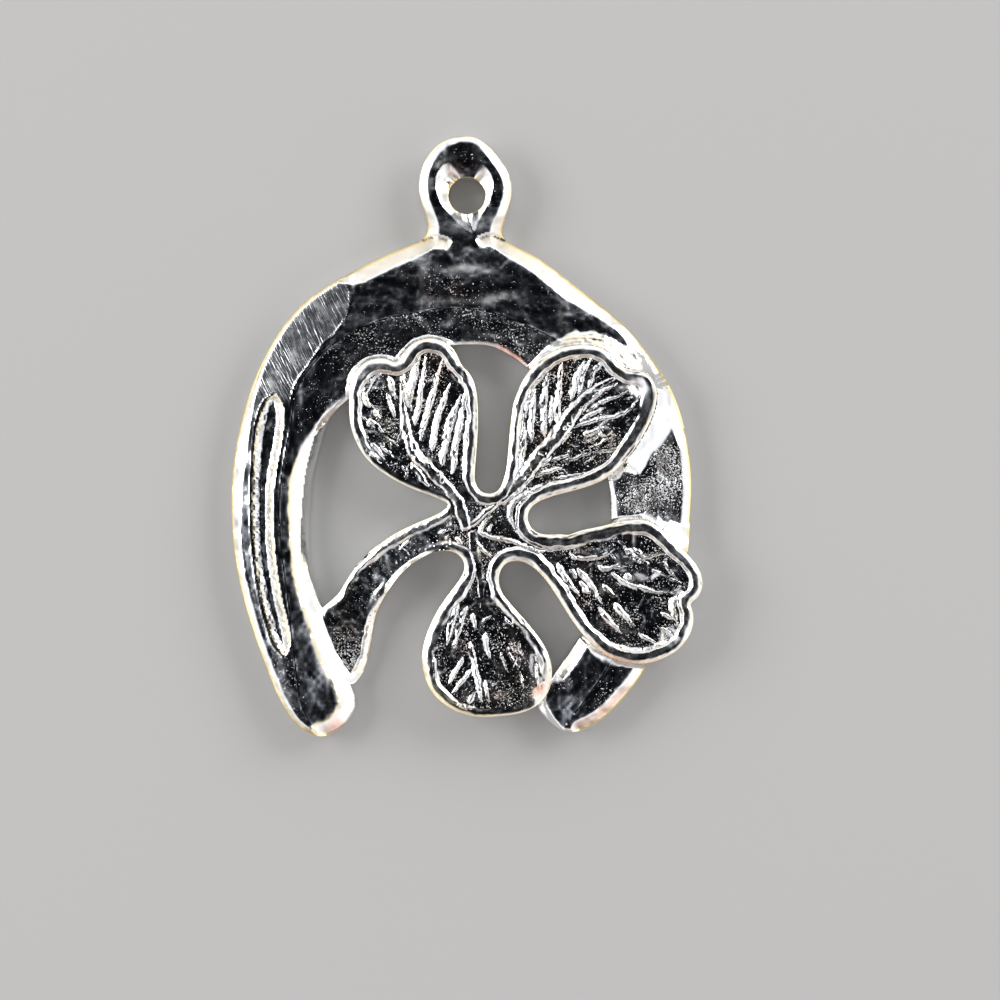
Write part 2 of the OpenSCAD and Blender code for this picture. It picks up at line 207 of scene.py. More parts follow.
# Nail groove
# columns: right, down, half width, in grid steps
GROOVE = [
    (275, 396, 2), (274, 403, 9), (271.5, 420, 13), (268.5, 440, 13.5), (266, 460, 12.5), (263.5, 485, 11.2),
    (263, 520, 10.8), (265.5, 560, 10.8), (272, 600, 10.5), (277, 620, 10.3), (282, 640, 9), (284.5, 650, 5),
    (285, 655, 1)]
GROOVE_DEPTH = 0.2
# Part of the left arm that was filed flat before plating: its upper and inner side, then its loop
FILED_SIDE = [
    (347, 287), (351, 303), (346, 318), (335, 334), (322, 346), (310, 364), (297, 382), (292, 398), (290, 420)]
FILED = FILED_SIDE + [(262, 424), (226, 424), (232, 398), (246, 366), (270, 322), (298, 293), (330, 272)]
# Where the arch's outer bevel runs on below the eye
SHOULDERS = [[(404, 246), (420, 240), (432, 237), (442, 238), (453, 242)],
             [(526, 251), (508, 241), (496, 236), (486, 236), (475, 240)]]
# Brim of the funnel that leads into the eye's hole
FUNNEL = [
    (435, 184), (438, 172), (447, 163), (462, 160), (478, 162), (489, 171), (494, 184), (491, 200), (485.5, 211),
    (479.5, 224), (474, 235), (462, 229), (451, 218), (440, 204)]


def traced(rows):
    """Millimetres right and up from the origin, for rows of grid steps right and down."""
    return (np.asarray(rows, float)[:, :2] - GRID_ORIGIN) * (GRID, -GRID)


def smooth_curve(rows, per_span, closed=False):
    """Catmull-Rom curve through the rows: each span is the cubic that leaves a row parallel to the
    line between its neighbours. per_span points to a span."""
    rows = np.asarray(rows, float)
    count = len(rows)
    spans = count if closed else count - 1
    u = np.arange(spans * per_span + (not closed)) / per_span
    i = np.minimum(u.astype(int), spans - 1)
    f = (u - i)[:, None]
    a, b, c, d = (rows[(i + k) % count if closed else np.clip(i + k, 0, count - 1)] for k in (-1, 0, 1, 2))
    return b + 0.5 * f * (c - a + f * (2 * a - 5 * b + 4 * c - d + f * (3 * (b - c) + d - a)))


def nearest_on(points, path):
    """Distance from each point to a path of straight pieces, its foot on the path, and the foot's
    place along as a fraction of the path's point numbers. One pass over the pieces, all points at once."""
    best = np.full(len(points), 1e9)
    foot = np.zeros((len(points), 2))
    along = np.zeros(len(points))
    for k in range(len(path) - 1):
        piece = path[k + 1] - path[k]
        offset = points - path[k]
        t = np.clip(offset @ piece / (piece @ piece), 0, 1)
        gap = offset - t[:, None] * piece
        far = np.einsum("ij,ij->i", gap, gap)
        closer = far < best
        best[closer] = far[closer]
        foot[closer] = path[k] + t[closer, None] * piece
        along[closer] = k + t[closer]
    return np.sqrt(best), foot, along / (len(path) - 1)


def heading_at(path, along):
    """The way a path runs at fractions of its length: the difference of its points, interpolated."""
    return np.stack([np.interp(along * (len(path) - 1), np.arange(len(path)), run)
                     for run in np.gradient(path, axis=0).T], 1)


def side_of(points, path, foot, along):
    """1 to the left of a path as it runs and -1 to the right: the sign of the cross product of its
    heading at the foot and the way from there to the point."""
    heading = heading_at(path, along)
    away = points - foot
    return np.sign(heading[:, 0] * away[:, 1] - heading[:, 1] * away[:, 0])


def within(points, loop):
    """True inside a closed loop: a line drawn to the right crosses the loop an odd number of times."""
    odd = np.zeros(len(points), bool)
    x, y = points.T
    for (ax, ay), (bx, by) in zip(loop, np.roll(loop, -1, 0)):
        if ay != by:
            odd ^= ((ay > y) != (by > y)) & (x < (bx - ax) * (y - ay) / (by - ay) + ax)
    return odd


def depth_in(points, loop):
    """Distance in from a closed loop, negative outside it, and the unit way towards the outside."""
    far, foot, _ = nearest_on(points, np.vstack([loop, loop[:1]]))
    sign = np.where(within(points, loop), 1.0, -1.0)
    way = (foot - points) * (sign / np.maximum(far, 1e-9))[:, None]
    return far * sign, way


def ease(low, high, value):
    """Smooth step from 0 at low to 1 at high: 3t squared less 2t cubed."""
    t = np.clip((value - low) / (high - low), 0, 1)
    return t * t * (3 - 2 * t)


def blob(points, right, down, reach, across=None, lean=0.0):
    """Bell of height 1 at a grid place, exp(-r squared / 2): r is counted in reaches along a line that
    leans by the given degrees, and over that line in the other reach, where one is given."""
    away = points - traced([(right, down)])[0]
    c, s = math.cos(math.radians(lean)), math.sin(math.radians(lean))
    u = (away[:, 0] * c + away[:, 1] * s) / reach
    v = (away[:, 1] * c - away[:, 0] * s) / (across or reach)
    return np.exp(-(u * u + v * v) / 2)


def bells(points, rows):
    """Sum of bells: for each row, its first number times the bell that the rest of the row gives."""
    return sum(share * blob(points, *place) for share, *place in rows)


def lip(off, half):
    """Bell across a line, exp(-(off / half) squared)."""
    return np.exp(-(off / half) ** 2)


def tilted(points, right, down, reach, heading, slope):
    """Patch of sloping metal at a grid place: a plane that climbs towards the heading in degrees,
    times a bell of the given reach in mm."""
    away = points - traced([(right, down)])[0]
    way = np.array([math.cos(math.radians(heading)), math.sin(math.radians(heading))])
    return slope * (away @ way) * blob(points, right, down, reach)


def swell(points, wave, seed):
    """Smooth random swell between -1 and 1: random heights on a square lattice, blended by a
    fifth-degree fade between its corners."""
    lattice = np.random.default_rng(seed).uniform(-1, 1, (97, 97))
    cell = np.floor(points / wave).astype(int)
    f = points / wave - cell
    f = f * f * f * (f * (f * 6 - 15) + 10)
    i, j = (cell % 96).T
    after_i, after_j = ((cell + 1) % 96).T
    low = lattice[i, j] * (1 - f[:, 0]) + lattice[after_i, j] * f[:, 0]
    high = lattice[i, after_j] * (1 - f[:, 0]) + lattice[after_i, after_j] * f[:, 0]
    return low * (1 - f[:, 1]) + high * f[:, 1]


def swells(points, rows):
    """Sum of swells: for each row its height times the swell of its wave and seed."""
    return sum(height * swell(points, wave, seed) for height, wave, seed in rows)


def settled(curve, rounds):
    """The closed curve with each point drawn to the mean of itself and its neighbours, some rounds."""
    for _ in range(rounds):
        curve = (np.roll(curve, 1, 0) + 2 * curve + np.roll(curve, -1, 0)) / 4
    return curve


def drawn(rows, per_span=4, closed=False):
    """Smooth curve through rows of grid steps, in millimetres."""
    return smooth_curve(traced(rows), per_span, closed)


shoe_loop = settled(drawn(OUTER_EDGE + INNER_EDGE, closed=True), 4)
turning = 4 * len(OUTER_EDGE) - 1
outer_edge = np.vstack([shoe_loop[-2:], shoe_loop[:turning]])
inner_edge = shoe_loop[turning - 1:-1]
crease_line = drawn(CREASE)
groove_line = drawn(GROOVE)
groove_half = smooth_curve([[row[2] * GRID] for row in GROOVE], 4)[:, 0]
filed_loop = drawn(FILED, 3, closed=True)
filed_side = drawn(FILED_SIDE, 3)
shoulder_lines = [drawn(rows) for rows in SHOULDERS]
funnel_loop = drawn(FUNNEL, 3, closed=True)

# Outline of the clover, as in the clover's own section below, because the band's face rises to it
# in fillets. It starts in the gap beside the stem and runs clockwise.
# columns: right, down, in grid steps
UPPER_LEFT_LEAF = [
    (449, 504.5), (440, 499.5), (430, 495), (415, 490), (400, 483), (385, 474), (372, 464), (362, 452),
    (355, 438),
    (351, 424), (350, 408), (350, 395), (352, 382), (357, 371.5), (365, 363.5), (375, 359.5), (387, 359.5),
    (397, 363.5), (404, 353.5), (412, 345), (420, 341), (429, 339), (440, 341), (450, 346), (457, 355),
    (462, 366), (469, 373), (474.5, 383), (477.5, 396), (478.3, 412), (478, 430), (477, 448), (475.5, 466),
    (475, 480)]
UPPER_RIGHT_LEAF = [
    (480, 490.5), (490, 493.5), (499, 489.5), (504, 478), (507, 463), (508.5, 445), (510.5, 424), (513, 405),
    (517, 393), (523, 380), (531, 369), (541, 359), (556, 350.5), (574, 346), (590, 346), (604, 350), (613, 358),
    (620, 366), (630, 370.5), (641, 372), (650, 378), (656, 389), (655.5, 404), (650, 421), (640, 440),
    (628, 457), (614, 472), (600, 481.5), (585, 487.5), (569, 492), (550, 497)]
RIGHT_LEAF = [
    (536, 503), (529, 511), (528, 520), (532, 528.5), (541, 533.5), (551, 534), (560, 533.5), (568, 534.5),
    (580, 530), (600, 526), (620, 521), (640, 519.5), (652, 522.5), (665, 532), (680, 547), (693, 561),
    (700.5, 574), (701.5, 587), (696, 598), (689.5, 603), (692, 611), (692.5, 622), (689, 634), (681, 645),
    (668, 655), (650, 662), (632, 663), (612, 658), (595, 647), (578, 629), (563, 606), (551, 587), (540, 573),
    (528, 563.5)]
BOTTOM_LEAF = [
    (515, 560.5), (504, 565), (499, 577), (502, 592), (515, 608), (530, 625), (542, 641), (549, 655), (552, 670),
    (550, 687), (543, 699), (532, 707), (518, 712.5), (498, 715), (479, 716), (461, 712), (447, 705), (436, 696),
    (429, 686), (424, 673), (422, 657), (424.5, 640), (432, 620), (443, 601), (455, 585), (462, 575),
    (464.5, 566)]
STEM_EDGES = [
    (461, 557), (453, 551.5), (443, 550.5), (433, 552.5), (423, 557), (413, 563), (403, 572), (394, 583),
    (385, 596), (378, 610), (374, 625), (371.5, 642), (368, 660), (361, 676), (349, 686), (335, 668), (321, 640),
    (316, 616), (330, 601), (338, 594), (344, 584), (351, 573), (359, 563), (369, 552), (381, 542.5),
    (395, 533), (411, 525), (428, 518), (441, 512)]
CLOVER_EDGE = UPPER_LEFT_LEAF + UPPER_RIGHT_LEAF + RIGHT_LEAF + BOTTOM_LEAF + STEM_EDGES
clover_loop = settled(drawn(CLOVER_EDGE, 3, closed=True), 1)

FILLET = 0.22  # width of the fillet between the clover and the band, mm
# Where the fillet is wider
# rows: added width in mm, right, down, reach in mm
WIDE_FILLETS = [
    (0.5, 580, 334, 1.0), (0.45, 625, 350, 0.8), (0.35, 636, 354, 0.45), (-0.12, 664, 390, 0.45),
    (0.15, 618, 478, 0.3), (0.4, 668, 512, 0.8), (0.2, 600, 668, 0.8), (-0.1, 315, 600, 0.5)]
FILLET_TOP = 2.02  # height of the fillet at the wall, mm
FILLET_SINK = 0.4  # how far the fillet runs on under the clover, mm
# Smooth banks that climb from the right arm to the clover's wall
# rows: right, down on the wall, reach along it in mm, lean in degrees, height at the wall in mm
BANKS = [(648, 428, 1.45, 75, 2.2), (674, 541, 0.62, -45, 2.08)]
BANK_SLOPE = 0.5
BANK_BREADTH = 3.0  # reach of a bank out from the wall, mm
BANK_SPREAD = 2.2  # a bank is whole where its bell is over one part in this
BANK_END = 1.6  # how far it drops at its ends, mm

# Hollows of the horseshoe's face and amounts of its masks, as bells
# rows: amount, right, down, reach and reach across in mm, lean in degrees
HOLLOWS = [(-0.03, 465, 269, 0.8, 0.22), (-0.06, 497, 296, 0.8, 0.25, 10), (-0.1, 676, 470, 2.0, 0.7, 92)]
NO_FILLET = [(2.6, 333, 655, 1.7, 0.75, -65), (1.6, 556, 690, 0.7)]
# places of sandy grain, where the painted shade of the recesses is also darker
SANDY_AND_SHADED = [
    (1.3, 670, 472, 1.8, 0.65, 96), (1.2, 634, 497, 1.1, 0.7), (1.0, 560, 682, 0.5),
    (0.5, 600, 700, 1.3, 0.6, 50), (0.5, 285, 680, 1.3, 0.5, -70), (0.5, 452, 290, 1.4, 0.5),
    (0.35, 440, 175, 0.3), (0.3, 466, 155, 0.8, 0.3)]
HAZY = [
    (0.75, 465, 269, 0.8, 0.18), (0.55, 499, 296, 0.7, 0.16, 8), (0.5, 424, 266, 0.3, 0.5),
    (0.3, 450, 302, 2.0, 0.12), (0.5, 466, 224, 0.45, 0.3)]
HAZY_ARM = [(0.2, 664, 480, 1.4, 0.7, 96), (0.25, 634, 500, 0.9, 0.5)]
# the copper tint in these spots and along the edge below is a painted warm reflection
COPPER_AND_WARM_REFLECTION_SPOTS = [(1.0, 340, 727, 0.35), (0.8, 463, 167, 0.4, 0.25), (0.5, 450, 292, 1.0, 0.3)]
WARM_REFLECTION_EDGE = (510, 354, 0.7)  # painted warm reflection, only along the inner edge
# Swells of the polished faces: height in mm, wave in mm, seed
FACE_SWELLS = [(0.045, 1.3, 3), (0.02, 0.5, 4), (0.007, 0.2, 8)]
EYE_SWELLS = [(0.025, 0.7, 5), (0.014, 0.3, 15)]
FILLET_SWELLS = [(0.2, 0.6, 18), (0.1, 0.22, 29)]
FALL_OUTSIDE = 0.1  # slope of the face outside the crease, and inside it
FALL_INSIDE = 0.16
CREASE_SOFT = 0.04  # rounding of the crease, mm
LIP_HALF = 0.05  # half width of the fine ridges along the crease and the filed part, mm
ARM_RISE = 0.11  # slope of the left arm's face beside its outer bevel
FILED_FALL = 0.05
EYE_BEVEL = 0.42
SHOULDER_SLOPE = 0.4
OUTER_SOFT = 0.05  # softening of the outer bevel, mm
INNER_SOFT = (0.08, 0.24)  # softening of the inner bevel below and above the middle of the left arm, mm
FUNNEL_SLOPES = (0.68, 0.5, 0.22)  # slope at the sides, and what is taken off it on top and below
LEAST_T = 0.3  # nowhere is the casting thinner, mm
LIT_WALL = 0.42  # widths of the groove's two walls, mm
FAR_WALL = 0.38


def higher(one, other, soft):
    """The higher of two surfaces, blended where they cross: half their sum and the root of their
    difference squared plus soft."""
    return (one + other + np.sqrt((one - other) ** 2 + soft)) / 2


def edge_drop(into, width, soft):
    """How far a bevelled edge lies below the face: a 29 degree chamfer of the given width, its upper
    edge softened over the given distance and its outer fifth rounded down into the wall."""
    past = width - into
    chamfer = 0.278 * (past + np.sqrt(past * past + soft * soft))
    rounding = 0.2 * width
    turn = np.clip(1 - into / rounding, 0, 1)
    return chamfer + 0.5 * rounding * (1 - np.sqrt(1 - np.minimum(turn, 0.999) ** 2))


def shoe_relief(points):
    """Height of the horseshoe's face in mm, with its masks. The face falls away on both sides of the
    crease. The bevels, the groove and the funnel are taken off it, and the fillets that climb to the
    clover are added."""
    out, _, _ = nearest_on(points, outer_edge)
    into, _, _ = nearest_on(points, inner_edge)
    off_crease, foot, along = nearest_on(points, crease_line)
    outside = side_of(points, crease_line, foot, along) > 0
    turn = np.degrees(np.arctan2(*(points - traced([SHOE_MIDDLE])[0]).T[::-1]))
    turn = np.where(turn < -90, turn + 360, turn)
    angles, outer_w, inner_w = np.array(BEVELS).T
    outer_w, inner_w = np.interp(turn, angles, outer_w), np.interp(turn, angles, inner_w)
    up = points[:, 1] / GRID
    down = GRID_ORIGIN[1] - up

    filed, _ = depth_in(points, filed_loop)
    from_side, _, _ = nearest_on(points, filed_side)
    flat = ease(0.0, 0.05, filed) * ease(418, 380, down)
    fall = np.where(outside, FALL_OUTSIDE, FALL_INSIDE)
    face = CREASE_T - fall * (np.hypot(off_crease, CREASE_SOFT) - CREASE_SOFT)
    face += 0.015 * lip(off_crease, LIP_HALF) * (0.5 + 0.5 * swell(points, 0.5, 2))
    face += swells(points, FACE_SWELLS) * (1 - 0.8 * flat) + bells(points, HOLLOWS)
    face += ARM_RISE * np.clip(out - 0.5, 0, 0.4) * ease(150, 172, turn) * ease(235, 215, turn)
    face -= FILED_FALL * flat * from_side
    face += 0.016 * lip(from_side, LIP_HALF) * (0.55 + 0.45 * swell(points, 0.4, 9)) * ease(418, 390, down)

    # the eye stands a little over the arch, and its neck sinks into it
    eye = ease(190, 232, up)
    face = face * (1 - eye) + (EYE_T + swells(points, EYE_SWELLS)) * eye
    outer_w = outer_w * (1 - eye) + (EYE_BEVEL - 0.14 * ease(276, 298, up)) * eye
    shoulder = np.zeros(len(points))
    for line in shoulder_lines:
        off, foot, along = nearest_on(points, line)
        wide = np.where(points[:, 1] < foot[:, 1], 0.72 - 0.25 * along, 0.13)
        ends = ease(1, 0.85, along) * ease(0.1, 0.35, along)
        shoulder = np.maximum(shoulder, SHOULDER_SLOPE * np.maximum(wide - off, 0) * ends)

    # bevels, the wider of the two drops winning where they meet at the tips
    inner_soft = np.interp(turn, (195, 225), INNER_SOFT)
    drops = np.maximum(edge_drop(out, outer_w, OUTER_SOFT), edge_drop(into, inner_w, inner_soft))
    drops += 0.7 * np.clip(0.36 - into, 0, 1) * ease(140, 165, turn) * ease(215, 190, turn)
    height = face - drops + 0.004 * swell(points, 0.35, 16) * ease(0, 0.1, drops) - shoulder

    brim, _ = depth_in(points, funnel_loop)
    from_hole = points - HOLE_CENTRE
    upward = from_hole[:, 1] / np.maximum(np.linalg.norm(from_hole, axis=1), 1e-6)
    steep, less_above, less_below = FUNNEL_SLOPES
    steep = steep - less_above * ease(0.72, 0.95, upward) - less_below * ease(0.6, 0.95, -upward)
    in_funnel = np.sqrt(np.maximum(brim, 0) ** 2 + 0.002) - 0.0447
    height -= steep * in_funnel * (1 + 0.12 * swell(points, 0.3, 17))

    side, foot, along = nearest_on(points, groove_line)
    slot = np.interp(along * (len(groove_half) - 1), np.arange(len(groove_half)), groove_half) - side
    lit_wall = side_of(points, groove_line, foot, along) < 0
    in_groove = np.clip(slot / np.where(lit_wall, LIT_WALL, FAR_WALL), 0, 1)
    beads = ease(0, 0.08, slot) * (1 - ease(0.75, 1, in_groove))
    height += np.where(lit_wall, 0.009, 0.016) * lip(slot + 0.07, 0.045)
    height += 0.014 * beads * swell(points, 0.12, 6) - GROOVE_DEPTH * (in_groove + ease(0, 1, in_groove)) / 2

    # fillets: steep at the clover's wall and running out over their width, sunk under the clover
    depth, way = depth_in(points, clover_loop)
    outside_clover = depth < 0
    width = (FILLET + bells(points, WIDE_FILLETS)) * (1 + swells(points, FILLET_SWELLS))
    power = 1.8 - 0.6 * np.clip(width - FILLET, 0, 1)
    run = np.where(outside_clover, np.clip(1 + depth / width, 0, 1) ** power,
                   np.clip(1 - depth / FILLET_SINK, 0, 1) ** 2)
    run *= 1 - np.clip(bells(points, NO_FILLET), 0, 1)
    height += (FILLET_TOP + 0.34 * np.clip(width - 0.55, 0, 0.7) * outside_clover - height) * run
    at_wall = points + way * depth[:, None]
    bank = np.zeros(len(points))
    for place_right, place_down, reach, lean, tall in BANKS:
        share = np.minimum(BANK_SPREAD * blob(at_wall, place_right, place_down, reach, BANK_BREADTH, lean), 1)
        bank = np.maximum(bank, tall - BANK_END * (1 - share))
    bank += BANK_SLOPE * depth - 0.25 * np.maximum(0.45 - out, 0) - 0.015 * swell(points, 0.4, 61)
    on_bank = ease(-0.01, 0.02, bank - height) * outside_clover
    height = np.where(outside_clover, higher(height, bank, 0.0003), height)
    ripples = ease(0.45, 0.7, width) * ease(0, 0.3, run) * ease(0, 0.1, -depth) * ease(375, 350, down)
    height += 0.006 * np.cos(2 * np.pi * depth / 0.19) * ripples

    # masks for the metal: sandy grain, which also sets the painted shade of the recesses, haze, copper tints
    # that are a painted warm reflection with some copper tone, pale gold tints, file marks
    on_bevel = ease(0.01, 0.09, np.maximum(drops, shoulder))
    grain_and_shade = 0.12 + 0.55 * np.where(outside, 0.1, 1) * ease(-20, 40, turn) * ease(175, 120, turn)
    grain_and_shade += bells(points, SANDY_AND_SHADED)
    grain_and_shade *= 0.6 + 0.4 * swell(points, 0.8, 7)
    grain_and_shade = np.clip(grain_and_shade + 0.4 * beads, 0, 1) * (1 - 0.8 * on_bevel) * (1 - flat) * (1 - 0.9 * on_bank)
    haze = 0.85 * on_bevel * ease(55, 62, turn) * ease(118, 114, turn) * ease(0.9, 0.8, out) * (1 - eye)
    haze += 0.85 * ease(0.01, 0.05, shoulder) + 0.4 * eye * np.clip(swell(points, 0.35, 60), 0, 1)
    haze += 0.22 * np.clip(swell(points, 0.9, 19) - 0.1, 0, 1) + bells(points, HAZY)
    haze = np.clip(haze + 0.22 * flat, 0, 1)
    haze += 0.5 * ease(0.4, 0.6, width) * ease(0.02, 0.15, run) * ease(375, 350, down)
    haze += bells(points, HAZY_ARM)
    haze *= 1 - on_bank
    # painted warm reflection on the right tip's lower bevel, the arch's inner edge and spots, with some random
    # copper tone
    copper_tone_and_warm_reflection = 0.65 * ease(0.6, 0.4, out) * on_bevel * ease(-74, -64, turn) * ease(-42, -56, turn)
    copper_tone_and_warm_reflection += ease(0.35, 0.2, into) * blob(points, *WARM_REFLECTION_EDGE) + bells(points, COPPER_AND_WARM_REFLECTION_SPOTS)
    copper_tone_and_warm_reflection = np.clip(copper_tone_and_warm_reflection * (0.75 + 0.45 * swell(points, 0.4, 20)), 0, 1)
    gold = ease(0.19, 0.1, out) * (1 - 0.5 * eye)
    gold += 0.8 * ease(0.1, 0.04, np.abs(into - inner_w)) * ease(160, 170, turn)
    gold += 0.45 * ripples + 0.35 * haze * on_bevel + 0.8 * ease(0, 0.1, in_groove) * ease(0.5, 0.2, in_groove)
    gold += 0.7 * ease(0.16, 0.06, np.linalg.norm(from_hole, axis=1) - HOLE_R)
    return np.maximum(height, LEAST_T), {
        "grain_and_shade": grain_and_shade, "haze": haze, "copper_tone_and_warm_reflection": copper_tone_and_warm_reflection, "gold": np.clip(gold, 0, 1),
        "filed": flat * (1 - on_bevel)}


def shoe_edge(points):
    """Distance in from the horseshoe's edge or from the hole, whichever is nearer, and the way out."""
    depth, way = depth_in(points, shoe_loop)
    from_hole = points - HOLE_CENTRE
    radius = np.maximum(np.linalg.norm(from_hole, axis=1), 1e-6)
    nearer = radius - HOLE_R < depth
    depth = np.where(nearer, radius - HOLE_R, depth)
    way = np.where(nearer[:, None], -from_hole / radius[:, None], way)
    return depth, way


SLOPE_STEP = 0.008  # step for reading the slope of a face, mm
SNAP = 0.42  # grid points within this share of the pitch are drawn onto the inset line
RIM_ROWS = (0.78, 0.58, 0.4, 0.25, 0.13, 0.05, 0.0)  # distance in from the edge, as shares of the inset
WALL_ROWS = [(0.0, 0.55), (0.0, 0.12), (0.13, 0.03)]  # one of those rows and a share of the wall's height
FOOT_ROW = 0.4


def cast_skin(name, loop, edge, relief, pitch, inset, back):
    """Closed skin of a flat-backed casting. The middle is a square grid over the outline, kept where
    it lies more than inset in from the edge, with its last row drawn onto that line. From there rows
    are carried out to the edge, down the wall and round the foot, and the back is filled flat."""
    low, high = loop.min(0), loop.max(0)
    nx, ny = (np.ceil((high - low) / pitch).astype(int) + 1)
    gx, gy = np.meshgrid(low[0] + pitch * np.arange(nx), low[1] + pitch * np.arange(ny))
    points = np.stack([gx.ravel(), gy.ravel()], 1)
    depth, way = edge(points)
    close = np.abs(depth - inset) < SNAP * pitch
    points[close] += way[close] * (depth[close] - inset)[:, None]
    depth[close] = inset
    cell = (np.arange(ny - 1)[:, None] * nx + np.arange(nx - 1)).ravel()
    a, b, c, d = cell, cell + 1, cell + nx + 1, cell + nx
    odd = (cell // nx + cell % nx) % 2 == 0
    tris = np.vstack([
        np.stack([a, b, np.where(odd, c, d)], 1), np.stack([np.where(odd, a, b), c, d], 1)])
    tris = tris[(depth[tris] >= inset - 1e-6).all(1)]

    def rim_edges(tris):
        """Edges that only one triangle uses, in that triangle's direction."""
        sides = np.vstack([tris[:, [0, 1]], tris[:, [1, 2]], tris[:, [2, 0]]])
        there = sides[:, 0] * len(points) + sides[:, 1]
        back_again = sides[:, 1] * len(points) + sides[:, 0]
        return sides[~np.isin(there, back_again)]

    # a corner where two parts of the rim meet is opened until none is left
    rim = rim_edges(tris)
    while True:
        pinched = np.bincount(rim[:, 0], minlength=len(points)) > 1
        if not pinched.any():
            break
        tris = tris[~pinched[tris].any(1)]
        rim = rim_edges(tris)

    used, tris = np.unique(tris, return_inverse=True)
    tris = tris.reshape(-1, 3)
    points, depth = points[used], depth[used]
    rim = np.searchsorted(used, rim)

    # even out the rows next to the rim, keeping the rim itself on its line
    on_rim = np.zeros(len(points), bool)
    on_rim[rim] = True
    soft = (depth < inset + 3 * pitch) & ~on_rim
    links = np.vstack([tris[:, [0, 1]], tris[:, [1, 2]], tris[:, [2, 0]]])
    for _ in range(6):
        total = np.zeros_like(points)
        for k in (0, 1):
            total[:, k] = np.bincount(links[:, 0], points[links[:, 1], k], len(points)) \
                + np.bincount(links[:, 1], points[links[:, 0], k], len(points))
        mean = total / np.bincount(links.ravel(), minlength=len(points))[:, None]
        points[soft] += 0.5 * (mean[soft] - points[soft])
        beside = np.zeros_like(points)
        beside[rim[:, 0]] += points[rim[:, 1]]
        beside[rim[:, 1]] += points[rim[:, 0]]
        points[on_rim] += 0.4 * (beside[on_rim] / 2 - points[on_rim])
        at, out = edge(points[on_rim])
        points[on_rim] += out * (at - inset)[:, None]

    # rows from the rim to the wall, then down it and under the foot
    rim_at = np.flatnonzero(on_rim)
    slots = np.full(len(points), -1)
    slots[rim_at] = np.arange(len(rim_at))
    rows, now, carried = [], points[rim_at], {}
    for share in RIM_ROWS:
        for _ in range(2 if share > 0 else 1):
            at, out = edge(now)
            now = now + out * (at - inset * share)[:, None]
        rows.append(now)
        carried[share] = now
    plan = np.vstack([points, *rows])
    height, marks = relief(plan)
    ahead = [relief(plan + step)[0] for step in ((SLOPE_STEP, 0), (0, SLOPE_STEP))]
    facing = np.column_stack([*[(height - beyond) / SLOPE_STEP for beyond in ahead], np.ones(len(plan))])
    facing[-len(rim_at):] = np.column_stack([out, np.full(len(out), 0.35)])
    wall_top = height[-len(rim_at):]
    walls = [np.column_stack([carried[row], back + share * (wall_top - back)]) for row, share in WALL_ROWS]
    foot = np.column_stack([carried[FOOT_ROW], np.full(len(rim_at), back)])
    places = np.vstack([np.column_stack([plan, height]), *walls, foot]) * MM
    level, under = np.zeros(len(out)), np.full(len(out), -1.0)
    facing = np.vstack([facing, *[np.column_stack([out, lean]) for lean in (level, level, under)],
                        np.column_stack([level, level, under])])
    facing /= np.linalg.norm(facing, axis=1)[:, None]

    first = np.append(rim_at, 0)[slots[rim]]
    quads = []
    count = len(rows) + len(walls) + 1
    for k in range(count):
        outer = len(points) + k * len(rim_at) + slots[rim]
        quads.append(np.column_stack([first[:, 1], first[:, 0], outer[:, 0], outer[:, 1]]))
        first = outer
    quads = np.vstack(quads)

    mesh = bpy.data.meshes.new(name)
    mesh.from_pydata(places, [], tris.tolist() + quads.tolist())
    filler = bmesh.new()
    filler.from_mesh(mesh)
    open_edges = [e for e in filler.edges if e.is_boundary]
    made = bmesh.ops.triangle_fill(filler, edges=open_edges, use_beauty=True, normal=(0, 0, -1))["geom"]
    for part in made:
        if isinstance(part, bmesh.types.BMFace):
            part.smooth = False
            if part.normal.z > 0:
                part.normal_flip()
    filler.to_mesh(mesh)
    filler.free()
    smooth = np.ones(len(mesh.polygons), bool)
    smooth[len(tris) + len(quads):] = False
    mesh.polygons.foreach_set("use_smooth", smooth)
    mesh.normals_split_custom_set_from_vertices(facing)
    for mark, values in marks.items():
        values = np.append(values, np.zeros(len(places) - len(plan))).astype(np.float32)
        mesh.attributes.new(mark, "FLOAT", "POINT").data.foreach_set("value", values)
    return mesh


SHOE_PITCH = 0.06
SHOE_INSET = 0.22
shoe_mesh = cast_skin("horseshoe", shoe_loop, shoe_edge, shoe_relief, SHOE_PITCH, SHOE_INSET, 0.004)
horseshoe = bpy.data.objects.new("horseshoe", shoe_mesh)
scene.collection.objects.link(horseshoe)
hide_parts("charm")
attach(horseshoe, "root")


CLOUD_SCALE = 1700.0
LEAST_SPECK = (0.0, 1.0, 0.74, 0.5)  # amount from and to, least noise that makes a speck from and to
SPECK_RISE = 6.0
SHADE_RANGE = (0.45, 0.62, 0.0, 0.8)  # cloud noise from and to, painted shade from and to
ROUGH_RANGE = (0.4, 0.66, 0.04, 0.2)  # cloud noise from and to, roughness from and to


def maths(tree, operation, first, second, **settings):
    """Output of a Math node on two values or outputs."""
    return node(tree, "ShaderNodeMath", {0: first, 1: second}, operation=operation, **settings).outputs[0]


